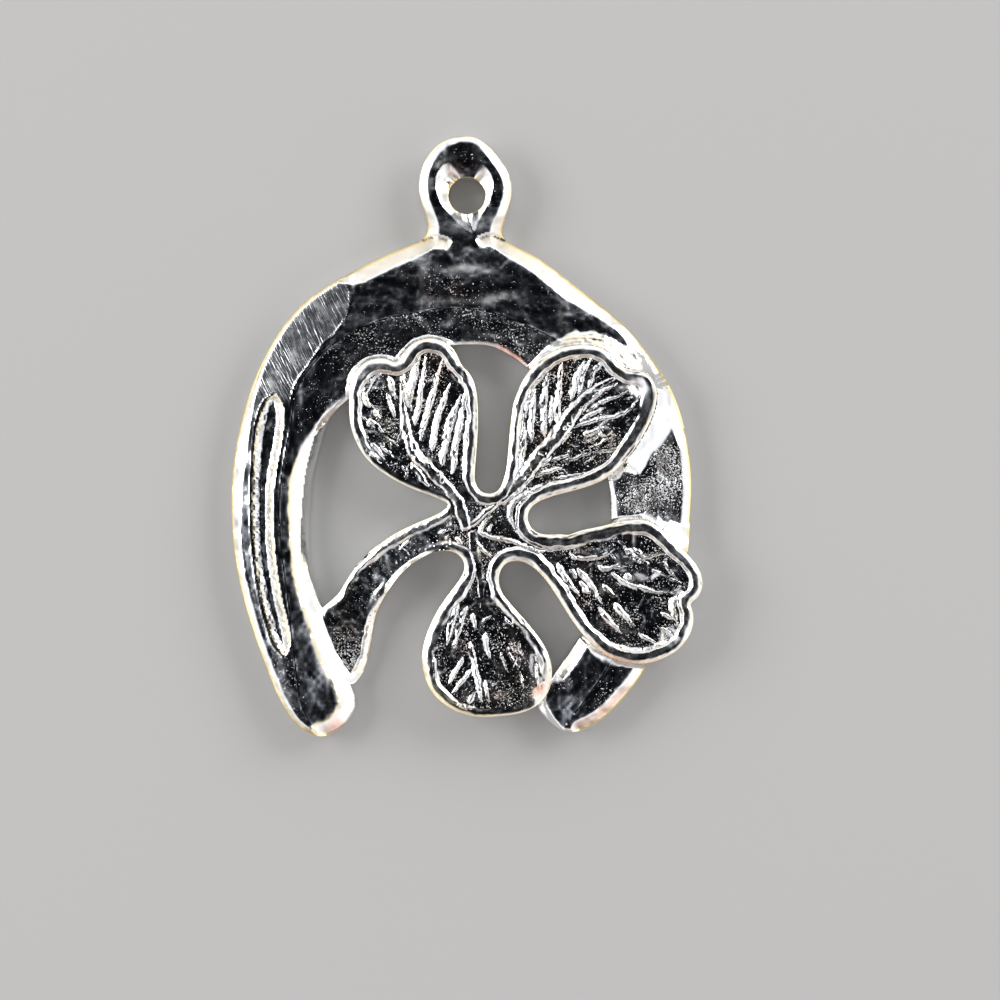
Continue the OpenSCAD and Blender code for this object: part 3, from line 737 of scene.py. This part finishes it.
def cast_grain_and_shade():
    """Node group: grain of a casting's recesses and the painted shade in them. Speck is the height of sparse
    fine grains, more of them as Amount grows; Shade the painted shade that darkens the recesses between them;
    Rough the roughness that they give."""
    group = bpy.data.node_groups.new("cast_grain_and_shade", "ShaderNodeTree")
    for way, names in (("INPUT", ("Amount", "Size")), ("OUTPUT", ("Speck", "Shade", "Rough"))):
        for name in names:
            group.interface.new_socket(name, in_out=way, socket_type="NodeSocketFloat")
    take = node(group, "NodeGroupInput")
    place = node(group, "ShaderNodeTexCoord").outputs["Object"]
    fine = node(group, "ShaderNodeTexNoise", {
        "Vector": place, "Scale": take.outputs["Size"], "Detail": 2.0, "Roughness": 0.6})
    cloud = node(group, "ShaderNodeTexNoise", {
        "Vector": place, "Scale": CLOUD_SCALE, "Detail": 4.0, "Roughness": 0.65})
    least = ranged(group, take.outputs["Amount"], LEAST_SPECK)
    over = maths(group, "SUBTRACT", fine.outputs[0], least)
    shade = ranged(group, cloud.outputs[0], SHADE_RANGE)
    node(group, "NodeGroupOutput", {
        "Speck": maths(group, "MULTIPLY", over, SPECK_RISE, use_clamp=True),
        "Shade": maths(group, "MULTIPLY", shade, take.outputs["Amount"]),
        "Rough": ranged(group, cloud.outputs[0], ROUGH_RANGE)})
    return group


grain_and_shade_group = cast_grain_and_shade()
GRAIN_SIZE = 12000.0
SILVER = (0.84, 0.845, 0.85, 1)
# colour of the painted shade that darkens the grainy recesses
RECESS_SHADE = (0.22, 0.18, 0.15, 1)
# the copper tint is a painted warm reflection with some copper tone; the gold tint is pale gold
TINTS = [("copper_tone_and_warm_reflection", (0.80, 0.46, 0.36, 1)), ("gold", (0.95, 0.80, 0.48, 1))]
HAZE_ROUGHNESS = 0.42
FILE_WAY = (0.454, -0.891, 0.0)  # the way the file went
FILE_ACROSS = (0.891, 0.454, 0.0)
FILE_STRETCH = 0.09
FILE_SCALE = 15000.0
FILE_DEPTH = 1.9  # depth of the file marks against the specks
RELIEF_DEPTH = 0.00001  # depth of the specks in metres


def plated_metal(name):
    """Polished silver-tone plating: a metal with the casting's grain and the painted shade of its recesses,
    haze, tints (copper tone with a painted warm reflection, and pale gold) and file marks where the masks say."""
    metal = bpy.data.materials.new(name)
    metal.use_nodes = True
    tree = metal.node_tree
    shader = tree.nodes["Principled BSDF"]
    shader.inputs["Metallic"].default_value = 1.0

    def mask(of):
        """Output of a mask that the mesh carries."""
        return node(tree, "ShaderNodeAttribute", attribute_name=of).outputs["Fac"]

    grain_and_shade = node(tree, "ShaderNodeGroup", {"Size": GRAIN_SIZE, "Amount": mask("grain_and_shade")}, node_tree=grain_and_shade_group)
    # painted shade darkens the recesses first, then the copper tint (a painted warm reflection) and the gold
    # tint
    colour = SILVER
    for share, tint in [(grain_and_shade.outputs["Shade"], RECESS_SHADE)] + [(mask(of), tint) for of, tint in TINTS]:
        colour = node(tree, "ShaderNodeMix", {0: share, 6: colour, 7: tint}, data_type="RGBA").outputs[2]
    tree.links.new(colour, shader.inputs["Base Color"])

    hazed = maths(tree, "MULTIPLY", mask("haze"), HAZE_ROUGHNESS)
    tree.links.new(maths(tree, "ADD", hazed, grain_and_shade.outputs["Rough"]), shader.inputs["Roughness"])

    # file marks: noise drawn out along the way the file went
    place = node(tree, "ShaderNodeTexCoord").outputs["Object"]
    lengthways, across = (
        node(tree, "ShaderNodeVectorMath", {0: place, 1: way}, operation="DOT_PRODUCT").outputs["Value"]
        for way in (FILE_WAY, FILE_ACROSS))
    shorter = maths(tree, "MULTIPLY", lengthways, FILE_STRETCH)
    drawn_out = node(tree, "ShaderNodeCombineXYZ", {0: across, 1: shorter})
    marks = node(tree, "ShaderNodeTexNoise", {
        "Vector": drawn_out.outputs[0], "Scale": FILE_SCALE, "Detail": 0.5, "Roughness": 0.5})
    marked = maths(tree, "MULTIPLY", marks.outputs[0], mask("filed"))
    relief = maths(tree, "ADD", grain_and_shade.outputs["Speck"], maths(tree, "MULTIPLY", marked, FILE_DEPTH))
    bump = node(tree, "ShaderNodeBump", {"Strength": 1.0, "Distance": RELIEF_DEPTH, "Height": relief})
    tree.links.new(bump.outputs["Normal"], shader.inputs["Normal"])
    return metal


shoe_mesh.materials.append(plated_metal("horseshoe_plating"))


# The clover
# The middle of the casting: four leaves on one hub with their stem curving to the left arm. Each
# leaf is a dished plate with a raised polished rim, a midrib and side veins over a sandy floor.
# Midribs, from the hub outwards: right, down, in grid steps
# rows: width of the lit flank, half width of the top, width of the far flank, height, in mm, and the line
MIDRIBS = [
    (0.2, 0.1, 0.17, 0.13,
     [(466, 525), (457, 500), (441, 480), (426, 465), (414, 450), (407, 429), (403, 405), (402, 378)]),
    (0.15, 0.03, 0.1, 0.08, [(473, 524), (484, 514), (495, 505), (506, 494)]),
    (0.24, 0.16, 0.16, 0.13,
     [(503, 498), (524, 478), (538, 459), (554, 441), (567, 423), (577, 409), (588, 397), (600, 386),
      (616, 378)]),
    (0.08, 0.12, 0.14, 0.035, [(473, 534), (476, 560), (481, 585), (482, 612)]),
]
# Side veins and other strokes of the leaves
# rows: width of the bright flank in mm, then the line: right, down, right, down and so on
VEINS = [
    # upper left leaf, right half and left half
    (0.18, 411, 411, 402, 370), (0.26, 409, 408, 414, 384, 421, 353), (0.22, 415, 426, 421, 404, 427, 355),
    (0.21, 421, 442, 427, 421, 434, 394, 444, 358), (0.22, 433, 452, 439, 421, 451, 383),
    (0.26, 443, 466, 450, 432, 461, 394), (0.22, 453, 476, 459, 437, 467, 386), (0.16, 466, 484, 469, 405),
    (0.22, 371, 408, 367, 397, 374, 379, 384, 373), (0.15, 388, 394, 397, 420), (0.13, 376, 410, 381, 420),
    (0.15, 369, 427, 373, 422, 386, 434), (0.18, 362, 432, 368, 450, 384, 465), (0.15, 372, 442, 387, 459),
    (0.2, 412, 461, 430, 487), (0.16, 390, 376, 396, 400),
    # upper right leaf, left half and right half
    (0.1, 516, 470, 522, 435, 525, 404), (0.2, 520, 472, 524, 450, 525, 430),
    (0.24, 524, 424, 529, 400, 534, 387, 543, 376, 556, 363), (0.22, 532, 442, 533, 414, 535, 390),
    (0.24, 545, 438, 545, 403, 547, 375), (0.12, 551, 426, 552, 396), (0.22, 558, 426, 559, 400, 562, 362),
    (0.22, 571, 400, 577, 380, 586, 361), (0.14, 578, 396, 583, 377, 592, 356),
    (0.15, 587, 390, 595, 372, 606, 356), (0.16, 603, 358, 609, 370, 616, 379),
    (0.2, 581, 414, 589, 401, 600, 393, 617, 384), (0.12, 586, 413, 597, 404, 611, 399, 630, 391),
    (0.13, 573, 428, 584, 424, 603, 419, 619, 416, 631, 408, 641, 394), (0.11, 579, 422, 592, 414, 606, 408),
    (0.2, 582, 436, 591, 434, 604, 427), (0.12, 559, 444, 570, 433), (0.1, 552, 461, 570, 454),
    (0.14, 541, 465, 551, 458), (0.14, 535, 478, 548, 472, 563, 469), (0.07, 560, 462, 596, 452),
    (0.14, 603, 470, 616, 461, 627, 452, 637, 432), (0.07, 597, 452, 628, 449), (0.08, 552, 480, 590, 472),
    # right leaf, lower half and upper half
    (0.13, 540, 560, 552, 574, 563, 590, 576, 610), (0.22, 543, 559, 551, 570, 560, 583),
    (0.2, 557, 562, 567, 577, 579, 595), (0.12, 570, 568, 577, 578), (0.14, 579, 580, 590, 594),
    (0.2, 575, 567, 585, 576, 593, 588, 602, 604), (0.12, 573, 603, 586, 626), (0.15, 602, 583, 613, 595),
    (0.15, 598, 606, 610, 620, 621, 633), (0.22, 615, 601, 622, 611, 631, 623), (0.13, 638, 632, 657, 644),
    (0.14, 660, 626, 677, 637), (0.14, 660, 612, 674, 619),
    (0.2, 598, 635, 612, 646, 629, 650, 646, 649, 661, 643, 671, 636),
    (0.15, 568, 552, 576, 557, 590, 558, 606, 554, 614, 548), (0.16, 597, 564, 606, 569, 620, 563),
    (0.16, 610, 573, 624, 581, 637, 587, 655, 591, 674, 592), (0.24, 625, 572, 632, 578),
    (0.06, 575, 541, 600, 538, 616, 537), (0.16, 627, 548, 632, 554), (0.09, 634, 562, 650, 556, 668, 553),
    (0.15, 672, 550, 684, 561, 691, 574, 693, 584), (0.06, 663, 560, 668, 571, 678, 580),
    (0.26, 676, 596, 673, 606, 677, 622),
    # bottom leaf
    (0.2, 459, 602, 453, 622, 447, 646), (0.24, 468, 605, 461, 625, 454, 648), (0.15, 464, 655, 449, 685),
    (0.13, 472, 668, 452, 693), (0.2, 435, 656, 437, 684), (0.22, 440, 689, 457, 703, 480, 709),
    (0.18, 485, 632, 489, 658), (0.2, 471, 640, 477, 672, 483, 702), (0.11, 484, 678, 490, 702),
    (0.14, 470, 702, 476, 690), (0.12, 536, 654, 538, 690), (0.12, 474, 612, 475, 630),
    (0.08, 484, 619, 493, 615),
    # hub and stem
    (0.13, 493, 515, 485, 521, 481, 529, 484, 535, 501, 539, 522, 545, 538, 550, 557, 550, 578, 544),
    (0.1, 488, 531, 493, 523), (0.12, 456, 536, 464, 544), (0.1, 476, 540, 483, 550, 492, 556),
    (0.1, 497, 558, 508, 554, 522, 557, 534, 567),
    (0.2, 517, 534, 512, 521, 511, 509, 517, 500, 530, 492, 548, 486, 568, 481, 590, 474),
    (0.1, 447, 530, 438, 533), (0.06, 397, 541, 404, 547, 413, 556), (0.08, 412, 538, 400, 549)]
# Halves of the leaves that stand higher, nearly level with their midrib
# rows: rise in mm, right, down, reach and reach across in mm, lean in degrees
HIGH_HALVES = [
    (0.1, 604, 432, 1.7, 0.75, 38), (0.05, 385, 440, 1.6, 0.6, -62), (0.05, 640, 562, 1.6, 0.5, -25),
    (0.06, 512, 650, 1.6, 0.7, -80)]
# Where the rim differs: right, down, reach and reach across in mm, lean in degrees, added width of the
# bevel in mm, added width of the top in mm, and the share of the floor's depth that is missing inside
RIM_CHANGES = [
    (430, 640, 1.6, 0.9, 68, 0.08, 0.0, 0.9), (518, 705, 2.2, 0.9, 5, -0.14, -0.22, 1.0),
    (408, 478, 2.2, 0.9, -28, -0.12, -0.24, 1.0), (395, 582, 1.7, 0.45, 55, -0.12, -0.22, 0.9),
    (425, 555, 1.2, 0.4, 20, -0.12, -0.22, 0.4), (362, 562, 2.2, 0.4, 52, 0.02, -0.28, 0.0),
    (600, 536, 1.7, 0.6, 8, -0.07, 0.1, 0.75), (514, 430, 2.2, 0.4, 83, 0.0, -0.14, 0.0),
    (640, 655, 1.8, 0.4, 8, -0.06, 0.1, 0.0), (522, 620, 2.0, 0.4, -52, -0.02, -0.22, 0.4),
    (645, 405, 1.6, 0.7, 80, -0.08, 0.1, 0.7), (440, 343, 1.5, 0.4, -10, 0.0, 0.1, 0.0),
    (553, 690, 0.6, 0.6, 0, -0.16, -0.3, 1.0), (470, 430, 1.8, 0.4, 88, 0.0, -0.1, 0.2),
    (395, 365, 1.2, 0.5, 0, 0.03, 0.08, 0.0)]
# Bright sloping places: right, down, reach in mm, the way up in degrees, slope
GLINTS = [
    (633, 391, 0.26, 205, 0.5), (642, 385, 0.3, 30, 0.55), (681, 592, 0.2, 60, 0.5),
    (673, 634, 0.28, 50, 0.55), (600, 434, 0.26, 30, 0.5), (436, 672, 0.2, 160, 0.5), (463, 372, 0.2, 20, 0.5),
    (421, 458, 0.2, 200, 0.5), (372, 380, 0.2, 140, 0.5), (640, 577, 0.22, 80, 0.5), (655, 575, 0.18, 120, 0.4),
    (540, 660, 0.2, 20, 0.5)]
LEAF_T = 2.31  # height of the leaves' rims, mm
FOOT_MIDDLE = (345, 622)  # middle of the stem's foot
WEB_START = 0.17  # how far inside the arm's edge the web under the foot starts, mm
WEB_SLOPE = 0.5
RIM_BEVEL = 0.22  # width of the bevel along the rim, mm
RIM_W = 0.44  # width of the rim with its bevel, mm
RIM_STEP = 0.22  # width of the step from the rim down to the floor, mm
FLOOR_DROP_IN = 0.17  # depth of the leaves' floors below the rim, mm
LIT_SIDE = np.array([-0.94, 0.34])  # the way in which the bright flanks of the strokes face
VEIN_FLANK = 1.05  # bright flank and height of a stroke, as shares of its width
VEIN_RISE = 0.52
VEIN_FAR = 0.085  # width of a stroke's far flank, mm
STEM_LINE = [
    (470, 530), (450, 528), (430, 532), (410, 541), (390, 555), (375, 572), (362, 592), (352, 615), (345, 640),
    (342, 670)]
stem_line = drawn(STEM_LINE)

# rows: line, width of the lit flank, half width of the top, width of the far flank, height, all in mm,
# and 1 where the near end isn't drawn to a point
strokes = [(drawn(rib), lit, top, far, tall, 1) for lit, top, far, tall, rib in MIDRIBS]
for width, *vein in VEINS:
    line = drawn(np.reshape(vein, (-1, 2)))
    strokes.append((line, VEIN_FLANK * width, 0.0, VEIN_FAR, VEIN_RISE * width, 0))

# Fine scratches in the higher halves of the leaves, each 0.3 to 1.1 mm long
SCRATCH_SEED = 31
SCRATCHES = 14  # in each half
SCRATCH_SHAPE = (0.004, 0.05, 0.03, 0)  # half width of the top, far flank, height in mm, blunt end
chance = np.random.default_rng(SCRATCH_SEED)
for _, right, down, reach, across, lean in HIGH_HALVES:
    turned = math.radians(lean)
    frame_of_half = np.array([[math.cos(turned), math.sin(turned)], [-math.sin(turned), math.cos(turned)]])
    for _ in range(SCRATCHES):
        middle = traced([(right, down)])[0] + chance.normal(0, 0.6, 2) * (reach, across) @ frame_of_half
        aim = turned + chance.normal(0, 0.45)
        way = chance.uniform(0.15, 0.55) * np.array([math.cos(aim), math.sin(aim)])
        line = np.array([middle - way, middle, middle + way])
        strokes.append((line, chance.uniform(0.05, 0.1), *SCRATCH_SHAPE))


STROKE_SHAKES = [(0.03, 0.17, (41, 42)), (0.035, 0.42, (43, 44))]  # height and wave in mm, seeds
HUB_MIDDLE = (485, 528)


def raised(points):
    """Height over the floor of the leaves' ribs and strokes in mm. Each has a narrow top and two
    flanks, part straight and part eased. Small swells shake its line and break its height, and it
    narrows to a point at its ends, but not where a rib leaves the hub. Near the hub nothing breaks them."""
    shaken = points.copy()
    for far_off, wave, seeds in STROKE_SHAKES:
        shaken += far_off * np.stack([swell(points, wave, seed) for seed in seeds], 1)
    away = ease(1.1, 2.2, np.linalg.norm(points - traced([HUB_MIDDLE])[0], axis=1))
    gaps = 0.45 * np.clip(swell(points, 0.19, 45) - 0.05, 0, 1) + 0.2 * np.clip(swell(points, 0.6, 46), 0, 1)
    broken = 1 - away * gaps
    best = np.zeros(len(points))
    for line, lit, top, far, tall, blunt in strokes:
        reach = top + lit + far + 0.07
        some = np.flatnonzero(((points > line.min(0) - reach) & (points < line.max(0) + reach)).all(1))
        if len(some) == 0:
            continue
        off, foot, along = nearest_on(shaken[some], line)
        taper = np.clip(np.minimum((along + blunt) / 0.22, (1 - along) / 0.4), 1e-6, 1) ** 0.7
        flank = np.where((shaken[some] - foot) @ LIT_SIDE > 0, lit, far) * taper
        rise = np.clip((top * taper + flank - off) / flank, 0, 1)
        rise = tall * taper * (3 * rise + ease(0, 1, rise)) / 4 * broken[some]
        best[some] = np.maximum(best[some], rise)
    return best


def arm_web(points):
    """Height of the web between the stem's foot and the left arm: the arm's own bevel, a hair lower,
    carried on beyond the arm's edge as a plane that falls at the web's slope."""
    off, foot, along = nearest_on(points, inner_edge)
    into = -off * side_of(points, inner_edge, foot, along)
    heading = heading_at(inner_edge, along)
    inward = np.stack([heading[:, 1], -heading[:, 0]], 1) / np.linalg.norm(heading, axis=1)[:, None]
    start = np.where((into > WEB_START)[:, None], points, foot + WEB_START * inward)
    return shoe_relief(start)[0] - 0.012 - WEB_SLOPE * np.maximum(WEB_START - into, 0)


# Swells of the clover's rims, their edge and width, its floors, and its grain with its painted shade: height,
# wave in mm, seed
TOP_SWELLS = [(0.014, 1.4, 11), (0.012, 0.5, 12), (0.005, 0.2, 26)]
EDGE_SWELLS = [(0.035, 0.5, 10), (0.018, 0.2, 21)]
RIM_SWELLS = [(0.06, 0.9, 51), (0.03, 0.3, 52)]
FLOOR_SWELLS = [(0.024, 0.4, 13), (0.011, 0.17, 14)]
GRAIN_AND_SHADE_SWELLS = [(0.45, 0.7, 22), (0.2, 0.25, 27)]
STEM_FALL = 1.32  # how far the stem falls from the hub to its foot, mm
CENTRE = (472, 528)  # where the leaves' floors rise towards the hub
STEM_FLOOR = 0.1  # depth of the stem's face below its rim, mm
TIP_DIP = (0.48, 554, 691, 0.55)  # the bottom leaf's right corner: drop in mm, right, down, reach in mm
BEAD = (555, 540, 0.2)  # a small bead beside the hub: right, down, reach in mm
CAP_ROUNDING = 0.035  # heights over the rims are eased down within this, mm


def clover_relief(points):
    """Height of the clover's face in mm, with its masks. The rim is bevelled at the wall, level on top
    and stepped down to the floor; midribs, strokes and glints stand over the floor."""
    depth, _ = depth_in(points, clover_loop)
    wobble = depth + ease(0.03, 0.15, depth) * swells(points, EDGE_SWELLS)
    from_hub = np.linalg.norm(points - traced([CENTRE])[0], axis=1)
    off_stem, _, down_stem = nearest_on(points, stem_line)
    spread = ease(0.55, 0.8, down_stem)
    beside = ease(1.15 + spread, 0.75 + spread, off_stem)
    on_stem = beside * ease(0.08, 0.2, down_stem)
    foot = on_stem * ease(0.6, 0.84, down_stem)

    top = LEAF_T + swells(points, TOP_SWELLS) - bells(points, [TIP_DIP])
    top -= beside * STEM_FALL * np.clip((down_stem - 0.1) / 0.9, 0, 1)

    free_side = ease(-0.2, 0.3, (points - traced([FOOT_MIDDLE])[0]) @ (0.8, -0.6))
    changes = np.stack([RIM_BEVEL + (0.06 + 0.26 * free_side) * foot,
                        RIM_W - 0.1 * foot + swells(points, RIM_SWELLS), np.zeros(len(points))])
    for *place, bevel_more, top_more, missing in RIM_CHANGES:
        changes += np.outer((bevel_more, top_more, missing), blob(points, *place))
    bevel_w, rim_w, shallow = changes
    height = top - edge_drop(wobble, np.maximum(bevel_w, 0.07), 0.08)

    lift = bells(points, HIGH_HALVES)
    near_hub = ease(2.4, 0.8, from_hub)
    sunk = (FLOOR_DROP_IN * (1 - 0.5 * near_hub) - lift) * (1 - on_stem) + STEM_FLOOR * on_stem * (1 - foot)
    sunk *= (1 - np.clip(shallow, 0, 1)) * (0.95 + 0.25 * swell(points, 1.1, 53))
    in_floor = ease(rim_w, rim_w + RIM_STEP, wobble)
    bed = top - sunk - 0.02 * ease(0.5, 2.2, depth) + swells(points, FLOOR_SWELLS) * (1 - 0.5 * on_stem)
    height += (bed - height) * in_floor

    most = sunk + 0.05
    over = most * np.tanh(raised(points) / most)
    height = np.maximum(height, bed + over * (over > 0) - (over <= 0))
    for glint in GLINTS:
        height += tilted(points, *glint)
    some = np.flatnonzero(foot > 0.02)
    web = np.full(len(points), -1.0)
    web[some] = arm_web(points[some])
    on_web = ease(0, 0.02, web - height)
    height = np.where(foot > 0.02, higher(height, web, 0.0002), height) + 0.06 * blob(points, *BEAD)

    # masks for the metal, as the horseshoe has them: grain with the painted shade of the floors, and copper
    # tints that are a painted warm reflection with some copper tone
    bare = in_floor * (1 - np.clip(14 * over, 0, 1))
    # the grain amount also sets the painted shade of the floors
    grain_and_shade = 0.62 * bare * (0.8 + swells(points, GRAIN_AND_SHADE_SWELLS)) * (1 - 0.45 * on_stem)
    grain_and_shade += 0.12 * ease(1.6, 0.6, from_hub) * bare
    grain_and_shade += 0.55 * ease(0.8, 0.95, down_stem) * on_stem * in_floor
    grain_and_shade = np.clip(grain_and_shade, 0, 1) * (1 - 0.95 * on_web)
    haze = 0.25 * bare * np.clip(swell(points, 0.8, 23), 0, 1) * (1 - on_stem)
    haze += 0.3 * (1 - in_floor) * ease(0.2, 0.3, wobble) + 0.4 * blob(points, 637, 389, 0.4)
    haze += 0.35 * np.clip(12 * over, 0, 1) * np.clip(0.6 + swell(points, 0.4, 28), 0, 1)
    at_wall = ease(0.22, 0.08, depth)
    # copper tint: painted warm reflection on the right leaf's lower wall and the bottom leaf's corner, with
    # patches of copper tone on the floors
    copper_tone_and_warm_reflection = at_wall * blob(points, 612, 660, 1.1, 0.7) + blob(points, 539, 688, 0.22)
    copper_tone_and_warm_reflection += 0.4 * bare * np.clip(swell(points, 1.1, 24) - 0.2, 0, 1)
    gold = 0.35 * at_wall + 0.5 * ease(0.6, 0.3, depth) * blob(points, 450, 700, 1.3)
    gold += 0.25 * np.clip(swell(points, 0.6, 25), 0, 1)
    above = np.maximum(height - LEAF_T - 0.015, 0)
    height += CAP_ROUNDING * np.tanh(above / CAP_ROUNDING) - above
    return np.maximum(height, LEAST_T), {
        "grain_and_shade": grain_and_shade, "haze": haze, "copper_tone_and_warm_reflection": np.clip(copper_tone_and_warm_reflection, 0, 1), "gold": np.clip(gold, 0, 1),
        "filed": np.zeros(len(points))}


def clover_edge(points):
    """Distance in from the clover's outline and the way out."""
    return depth_in(points, clover_loop)


CLOVER_PITCH = 0.05
CLOVER_INSET = 0.22
clover_mesh = cast_skin("clover", clover_loop, clover_edge, clover_relief, CLOVER_PITCH, CLOVER_INSET, 0.0)
clover = bpy.data.objects.new("clover", clover_mesh)
scene.collection.objects.link(clover)
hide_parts("charm")
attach(clover, "root")
clover_mesh.materials.append(plated_metal("clover_plating"))
